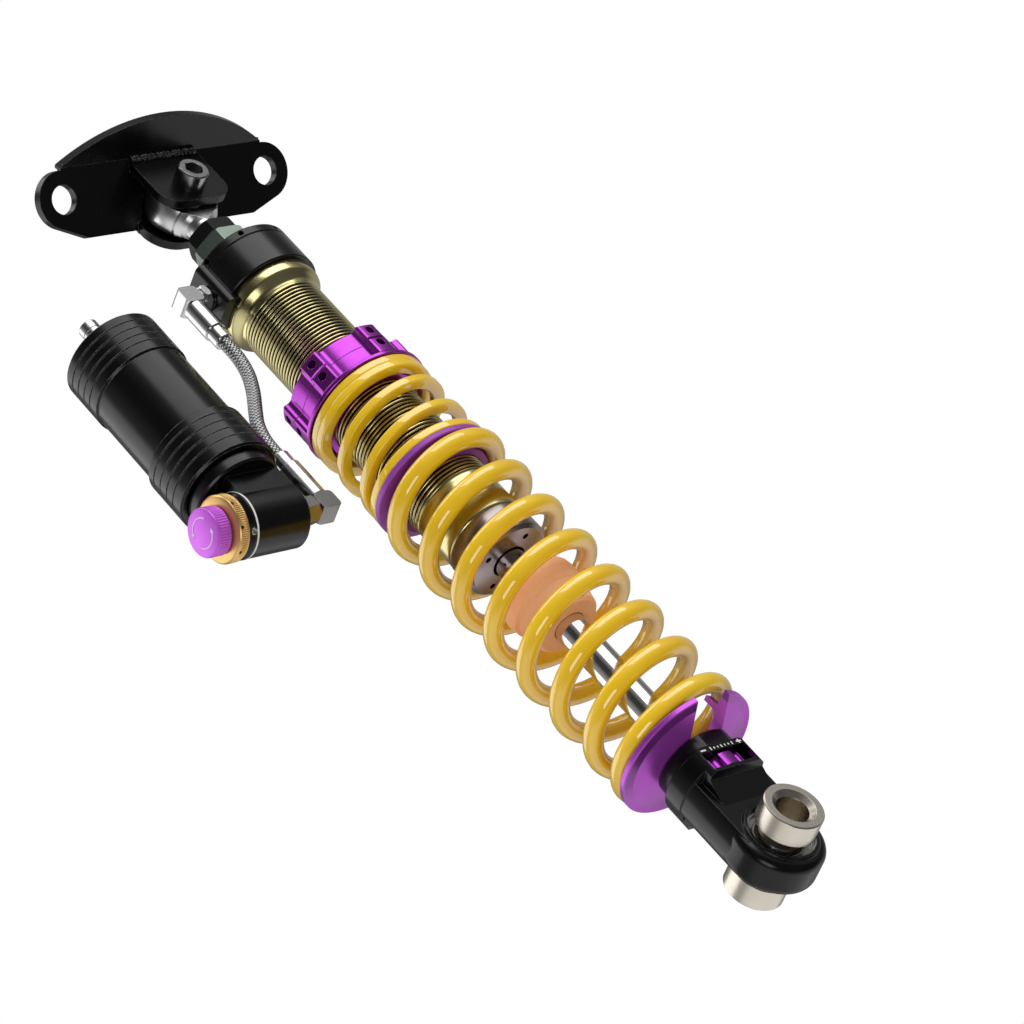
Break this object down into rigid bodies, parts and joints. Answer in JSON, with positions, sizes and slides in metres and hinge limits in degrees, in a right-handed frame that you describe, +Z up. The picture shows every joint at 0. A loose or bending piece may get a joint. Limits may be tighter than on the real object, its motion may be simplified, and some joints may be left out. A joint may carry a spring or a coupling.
{
  "type": "coilover damper",
  "caption": "Threaded coilover strut with main and helper spring, remote reservoir on a braided hose, dial adjusters, lower spherical eye and a bent top mounting bracket.",
  "frame": {"origin": "centre of the lower eye's spherical bearing, on the strut axis", "axes": "+Z up the strut axis to the top bracket, Y along the eye bores, -Y the front with the open ends of the bolts, reservoir on the -X side"},
  "size_m": [0.2472, 0.082, 0.602],
  "materials": {
    "black_anodised": "satin black anodised",
    "black_paint": "satin",
    "steel_zinc": "plated",
    "polished_steel": "polished",
    "hard_chrome": "ground and polished",
    "plated_body": "pale yellow zinc plate",
    "violet_anodised": "violet anodised",
    "gold_anodised": "gold anodised",
    "yellow_enamel": "gloss powder coat",
    "fittings": "satin",
    "braid": "braided wire",
    "bare_aluminium": "machined",
    "bronze": "satin",
    "liner_polymer": "matt",
    "seal_rubber": "matt",
    "foam": "cellular foam"
  },
  "bodies": {
    "bracket": {"top_bracket": "black_paint", "clevis_bolt": "polished_steel", "clevis_nut": "steel_zinc", "upper_bushes": "polished_steel", "upper_ball": "polished_steel"},
    "upper_bearing_liner": {"upper_liner": "liner_polymer"},
    "damper": {"rod_end": "steel_zinc", "hub_nut": "steel_zinc", "jam_nut": "steel_zinc", "top_cap": "black_anodised", "body_tube": "plated_body", "guide_cap": "black_anodised", "rod_seal": "seal_rubber", "guide_bush": "bronze", "reservoir_tube": "black_anodised", "reservoir_end_cap": "black_anodised", "gas_valve": "steel_zinc", "valve_head": "black_anodised", "bleed_screw": "steel_zinc", "upper_union": "fittings", "upper_elbow": "fittings", "upper_hose_end": "fittings", "hose": "braid", "lower_hose_end": "fittings", "lower_elbow": "fittings", "lower_union": "fittings", "helper_spring": "yellow_enamel"},
    "rod": {"piston_rod": "hard_chrome", "piston": "bare_aluminium", "piston_band": "liner_polymer", "shim_stack": "polished_steel", "piston_nut": "steel_zinc", "lower_spring_plate": "violet_anodised", "lower_eye": "black_anodised", "lower_race": "steel_zinc", "lower_circlips": "steel_zinc"},
    "stop": {"bump_stop": "foam"},
    "spacer": {"spring_spacer": "violet_anodised", "main_spring": "yellow_enamel"},
    "reservoir_piston": {"floating_piston": "bare_aluminium", "piston_o_ring": "seal_rubber"},
    "perch": {"perch_nut": "violet_anodised"},
    "lock": {"lock_ring": "violet_anodised"},
    "rebound_dial": {"rebound_wheel": "violet_anodised"},
    "bump_dial_ring": {"bump_ring": "gold_anodised"},
    "bump_dial_knob": {"bump_knob": "violet_anodised"},
    "lower_bearing_liner": {"lower_liner": "liner_polymer"},
    "lower_mount": {"lower_ball": "polished_steel", "front_sleeve": "steel_zinc", "rear_sleeve": "steel_zinc"}
  },
  "joints": [
    {"name": "top_tilt", "type": "hinge", "parent": "bracket", "child": "upper_bearing_liner", "pos_m": [0, 0, 0.5395], "axis": [1, 0, 0], "range_deg": [-5, 5]},
    {"name": "top_swing", "type": "hinge", "parent": "upper_bearing_liner", "child": "damper", "pos_m": [0, 0, 0.5395], "axis": [0, 1, 0], "range_deg": [-20, 20]},
    {"name": "rod_slide", "type": "slide", "parent": "damper", "child": "rod", "axis": [0, 0, 1], "range_m": [0, 0.09], "stiffness_N_per_m": 60000, "springref_m": -0.005, "deforming": ["main_spring", "helper_spring"]},
    {"name": "bump_stop_slide", "type": "slide", "parent": "rod", "child": "stop", "axis": [0, 0, 1], "range_m": [-0.075, 0]},
    {"name": "spacer_slide", "type": "slide", "parent": "damper", "child": "spacer", "axis": [0, 0, 1], "range_m": [0, 0.035]},
    {"name": "floating_piston_slide", "type": "slide", "parent": "damper", "child": "reservoir_piston", "axis": [0, 0, 1], "range_m": [0, 0.013]},
    {"name": "perch_slide", "type": "slide", "parent": "damper", "child": "perch", "axis": [0, 0, 1], "range_m": [0, 0.03]},
    {"name": "lock_ring_turn", "type": "hinge", "parent": "perch", "child": "lock", "pos_m": [0, 0, 0.375], "axis": [0, 0, 1], "range_deg": [0, 90]},
    {"name": "rebound_wheel_turn", "type": "hinge", "parent": "rod", "child": "rebound_dial", "pos_m": [0, 0, 0.0485], "axis": [0, 0, 1], "range_deg": [0, 300]},
    {"name": "bump_ring_turn", "type": "hinge", "parent": "damper", "child": "bump_dial_ring", "pos_m": [-0.1456, 0, 0.2905], "axis": [1, 0, 0], "range_deg": [0, 270]},
    {"name": "bump_knob_turn", "type": "hinge", "parent": "damper", "child": "bump_dial_knob", "pos_m": [-0.1545, 0, 0.2905], "axis": [1, 0, 0], "range_deg": [0, 320]},
    {"name": "lower_swing", "type": "hinge", "parent": "rod", "child": "lower_bearing_liner", "pos_m": [0, 0, 0], "axis": [0, 1, 0], "range_deg": [-30, 30]},
    {"name": "lower_tilt", "type": "hinge", "parent": "lower_bearing_liner", "child": "lower_mount", "pos_m": [0, 0, 0], "axis": [1, 0, 0], "range_deg": [-8, 8]}
  ],
  "couplings": [
    {"joint": "bump_stop_slide", "follows": "rod_slide", "ratio": -0.82},
    {"joint": "spacer_slide", "follows": "rod_slide", "ratio": 0.38},
    {"joint": "floating_piston_slide", "follows": "rod_slide", "ratio": 0.1406}
  ]
}
